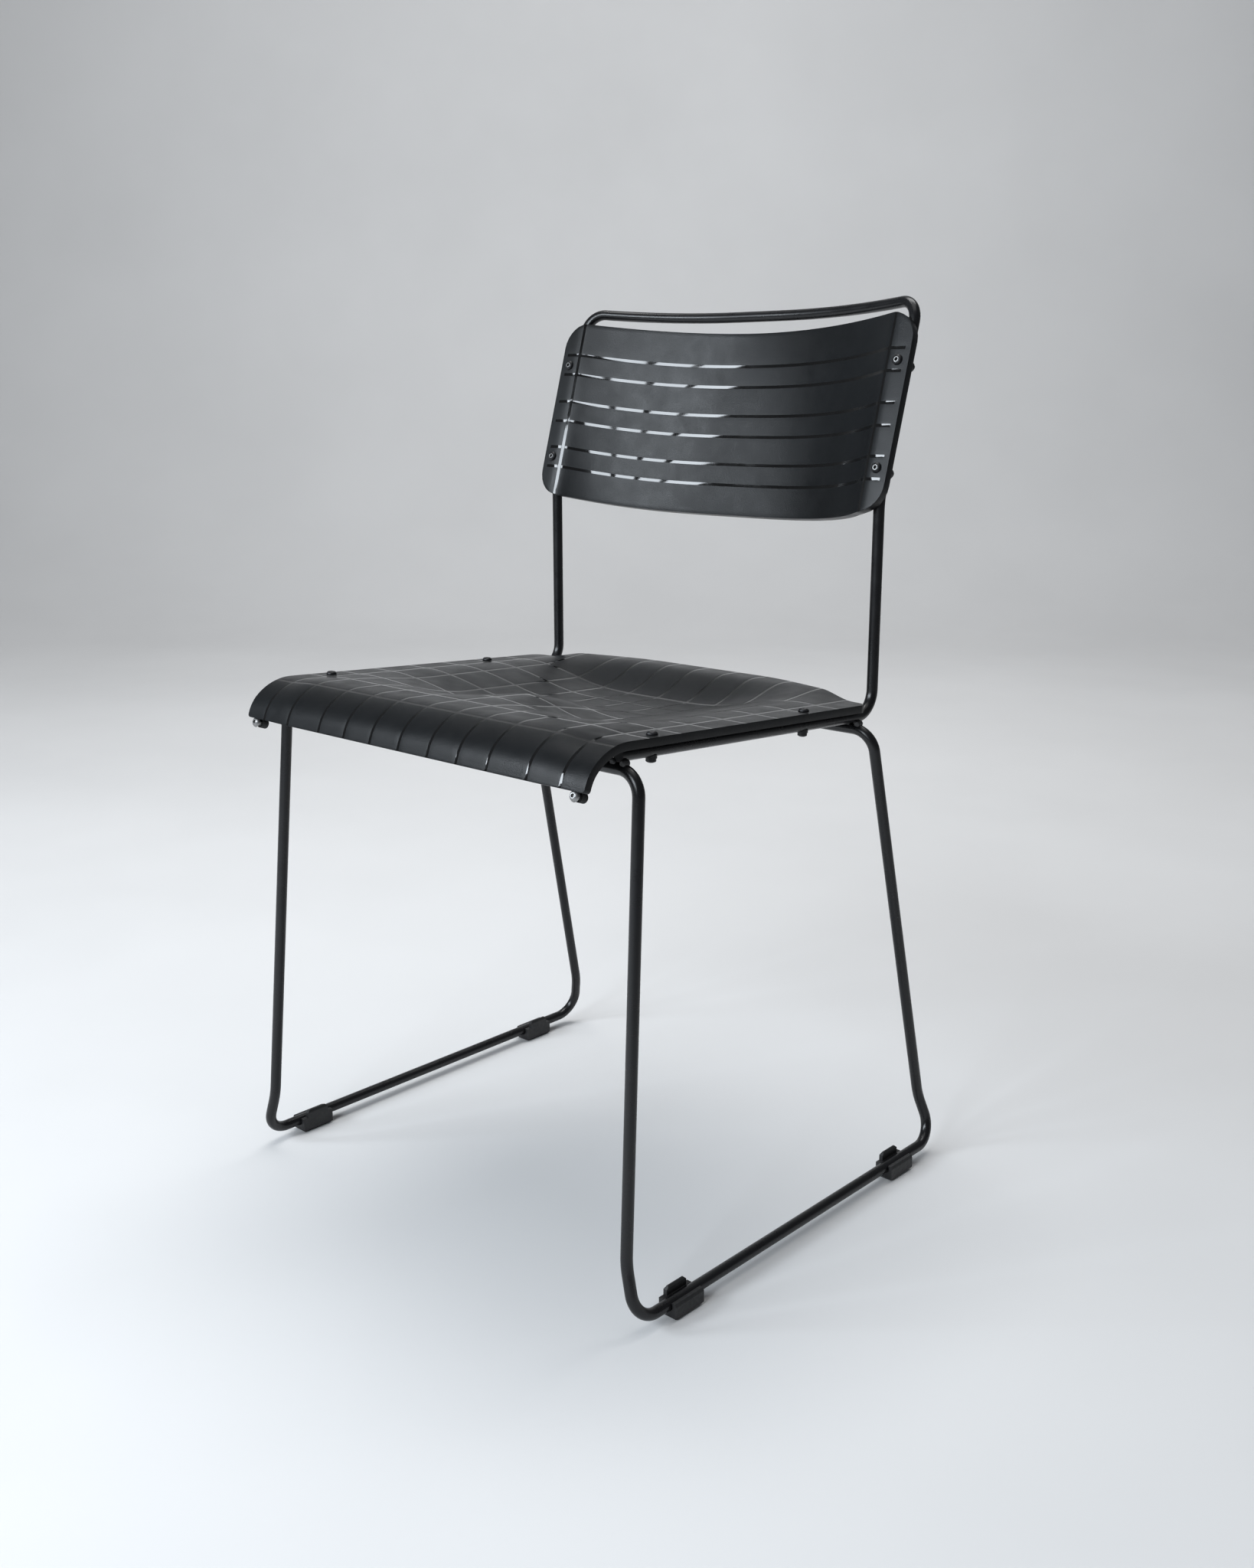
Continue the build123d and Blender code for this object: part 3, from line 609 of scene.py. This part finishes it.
def turned_part(name, profile, socket_r=0.0, socket_depth=0.0, sides=36):
    """A lathed part about Z from (radius, z) pairs in mm, with a six-sided socket on top."""
    vertices, faces = [], []
    rings = list(profile)
    hexes = []
    if socket_r:
        top = profile[-1][1]
        hexes = [(socket_r, top), (socket_r * 0.96, top - 0.15), (socket_r * 0.96, top - socket_depth)]
        hexes += [(0.02, top - socket_depth - 0.5)]
    for radius, z in rings + hexes:
        flat = (radius, z) in hexes
        for k in range(sides):
            angle = 2 * pi * k / sides
            reach = radius
            if flat:
                off = (angle + pi / 6) % (pi / 3) - pi / 6
                reach = radius / cos(off)
            vertices.append(Vector((reach * cos(angle), reach * sin(angle), z)) * MM)
    count = len(rings) + len(hexes)
    indices = []
    for r in range(count - 1):
        # Band 1, the ring round the socket's mouth, takes a lighter metal as a painted highlight; band 2,
        # the socket, takes near-black painted shade.
        finish = 0 if r < len(rings) - 2 else 1 if r < len(rings) else 2
        for k in range(sides):
            a, b = r * sides + k, r * sides + (k + 1) % sides
            faces.append((a, b, b + sides, a + sides))
            indices.append(finish)
    faces.append(tuple(range(sides - 1, -1, -1)))
    faces.append(tuple((count - 1) * sides + k for k in range(sides)))
    indices += [0, 2]
    part = mesh_piece(name, vertices, faces, [black_screw, painted_highlight_rim, socket_shade], indices)
    zones = part.data.attributes.new("zone", "INT", "FACE")
    zones.data.foreach_set("value", [face.material_index for face in part.data.polygons])
    return part


def placed(name, part, places, seed):
    """Copies of a part at (point, direction) pairs."""
    mesh = bpy.data.meshes.new(name)
    mesh.from_pydata([point for point, _ in places], [], [])
    facing = mesh.attributes.new("facing", "FLOAT_VECTOR", "POINT")
    facing.data.foreach_set("vector", [value for _, way in places for value in way])
    source = bpy.data.objects.new(name, mesh)
    bpy.context.scene.collection.objects.link(source)
    values = {"Part": part, "Turn seed": seed}
    values |= {"Finish": black_screw, "Rim finish": painted_highlight_rim, "Socket finish": socket_shade}
    return run_tree(source, part_tree, values)


def seat_places(lift):
    """Points on the seat screws' axes, lift mm above the rail's centreline."""
    return [
        (spot(side * RAIL_HALF_W, fy, rail_z(fy)) + rail_up * lift * MM, rail_up)
        for side in (-1, 1)
        for fy in SCREW_FY
    ]


def back_places(lift):
    """Points on the back screws' axes, lift mm in front of the upright's centreline."""
    middle = spot(0, datum_fy, BACK_DATUM_Z)
    return [
        (middle + (Vector((side * RAIL_HALF_W, 0, 0)) + lean_up * s - lean_back * lift) * MM, -lean_back)
        for side in (-1, 1)
        for s in SCREW_S
    ]


rod_tree = bent_rod_tree()
part_tree = scatter_tree()

HEAD_PROFILE = [(2.45, -6), (2.45, 0), (4.35, 0), (4.68, 0.12), (4.75, 0.5), (4.55, 1.15), (4.1, 1.85)]
HEAD_PROFILE += [(3.5, 2.35), (2.8, 2.65), (2.35, 2.74), (1.9, 2.74)]

seat = make_seat()
back = make_back()
base = make_base()
back_rod = make_back_frame()
head = turned_part("screw_head", HEAD_PROFILE, SOCKET_R, SOCKET_DEPTH)
head_lift = ROD_R + PANEL_AIR + HEAD_AIR
seat_heads = placed("seat_screw_heads", head, seat_places(head_lift + SEAT_T), SEAT_TURN_SEED)
back_heads = placed("back_screw_heads", head, back_places(head_lift + BACK_T), BACK_TURN_SEED)
bpy.data.objects.remove(head)

for piece, node, slot in (
    (seat, "seat_panel", "panel_plastic"),
    (back, "back_panel", "panel_plastic"),
    (base, "sled_base", "rod_coating"),
    (back_rod, "back_frame", "rod_coating"),
    (seat_heads, "seat_screws", "screw_steel"),
    (back_heads, "back_screws", "screw_steel"),
):
    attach(piece, "root")
    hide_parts(node)

# ---- Finishes on the CAD's own pieces ------------------------------------------------------
CAD_FINISHES = {
    "front_rail_welds": weld_coat,
    "rear_rail_welds": weld_coat,
    "seat_saddle_washers": nut_finish,
    "back_saddle_washers": nut_finish,
    "seat_cap_nuts": nut_finish,
    "back_cap_nuts": nut_finish,
    "left_lip_buffer": rubber_finish,
    "right_lip_buffer": rubber_finish,
    "lip_buffer_screws": bright_screw,
    "front_left_glide": glide_finish,
    "front_right_glide": glide_finish,
    "rear_left_glide": glide_finish,
    "rear_right_glide": glide_finish,
}
for node, finish in CAD_FINISHES.items():
    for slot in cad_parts[node].material_slots:
        slot.material = finish


# ---- Studio: metres and degrees, but the camera's place in the chair's millimetres ---------
FLOOR_REACH, WALL_H, WALL_BEARING = 9.0, 6.0, 42
COVE_START, COVE_R, COVE_STEPS = 3.2, 1.5, 10
WINDOW_PANES, WINDOW_FIRST, WINDOW_STEP = 4, -12.0, 15.0
WINDOW_REACH, WINDOW_CENTRE = 2.7, Vector((0, 0.2, 1.55))
SURROUND_STRENGTH = 0.14
CAMERA_X, CAMERA_FY, CAMERA_RISE = 971.2, -807.4, 703.3
CAMERA_TILT, CAMERA_BEARING, CAMERA_LENS, SENSOR_W = 13.90, 42.37, 45.05, 36.0


def make_floor():
    """A pale floor that curves up into a wall behind the chair."""
    mesh = bpy.data.meshes.new("studio_floor")
    turns = [pi / 2 * k / COVE_STEPS for k in range(1, COVE_STEPS + 1)]
    rows = [(-FLOOR_REACH, 0), (COVE_START, 0)]
    rows += [(COVE_START + COVE_R * sin(a), COVE_R - COVE_R * cos(a)) for a in turns]
    rows.append((COVE_START + COVE_R, WALL_H))
    turn = Matrix.Rotation(radians(WALL_BEARING), 4, "Z")
    vertices = [turn @ Vector((side * FLOOR_REACH, y, z)) for y, z in rows for side in (-1, 1)]
    faces = [(2 * k, 2 * k + 1, 2 * k + 3, 2 * k + 2) for k in range(len(rows) - 1)]
    mesh.from_pydata(vertices, [], faces)
    floor = bpy.data.objects.new("studio_floor", mesh)
    bpy.context.scene.collection.objects.link(floor)
    for face in mesh.polygons:
        face.use_smooth = True
    pale = make_finish(
        "pale_floor", (0.69, 0.69, 0.69), (0.73, 0.73, 0.73), (0.65, 0.80), (8.0, 0.1, 0.2), 1.5
    )
    mesh.materials.append(pale)


def soft_light(name, place, target, size, power, colour=(1, 1, 1)):
    data = bpy.data.lights.new(name, "AREA")
    data.shape = "RECTANGLE"
    data.size, data.size_y = size
    data.energy = power
    data.color = colour
    light = bpy.data.objects.new(name, data)
    light.location = place
    light.rotation_euler = (Vector(target) - Vector(place)).to_track_quat("-Z", "Y").to_euler()
    bpy.context.scene.collection.objects.link(light)


def make_camera():
    """The camera, in front of the chair on its left-hand side."""
    data = bpy.data.cameras.new("camera")
    data.sensor_fit = "HORIZONTAL"
    data.sensor_width = SENSOR_W
    data.lens = CAMERA_LENS
    camera = bpy.data.objects.new("camera", data)
    camera.location = spot(CAMERA_X, CAMERA_FY, CAMERA_RISE + SKID_Z)
    camera.rotation_euler = (radians(90 - CAMERA_TILT), 0, radians(CAMERA_BEARING))
    bpy.context.scene.collection.objects.link(camera)
    bpy.context.scene.camera = camera


def make_world():
    """A dim surround for the light, pale where the camera sees past the floor."""
    world = bpy.data.worlds.new("studio")
    world.use_nodes = True
    nodes, links = world.node_tree.nodes, world.node_tree.links
    dim = nodes["Background"]
    dim.inputs["Color"].default_value = (0.90, 0.94, 1.0, 1)
    dim.inputs["Strength"].default_value = SURROUND_STRENGTH
    pale = nodes.new("ShaderNodeBackground")
    pale.inputs["Color"].default_value = (0.95, 0.96, 0.97, 1)
    seen = nodes.new("ShaderNodeLightPath")
    choose = nodes.new("ShaderNodeMixShader")
    links.new(seen.outputs["Is Camera Ray"], choose.inputs["Fac"])
    links.new(dim.outputs["Background"], choose.inputs[1])
    links.new(pale.outputs["Background"], choose.inputs[2])
    links.new(choose.outputs["Shader"], nodes["World Output"].inputs["Surface"])
    bpy.context.scene.world = world


make_camera()
make_floor()
for pane in range(WINDOW_PANES):
    bearing = radians(WINDOW_FIRST + WINDOW_STEP * pane)
    place = Vector((-sin(bearing), -cos(bearing), 0)) * WINDOW_REACH + WINDOW_CENTRE
    soft_light(f"window_pane_{pane}", place, (0, 0.1, 0.6), (0.56, 0.8), 24, (0.86, 0.93, 1.0))
soft_light("backdrop_wash", (-0.6, 0.9, 3.4), (-2.0, 2.2, 0.9), (2.6, 1.6), 78)
soft_light("ceiling", (0.1, -0.1, 3.4), (0, 0, 0), (2.4, 2.4), 22)
make_world()
bpy.context.scene.view_settings.view_transform = "Standard"
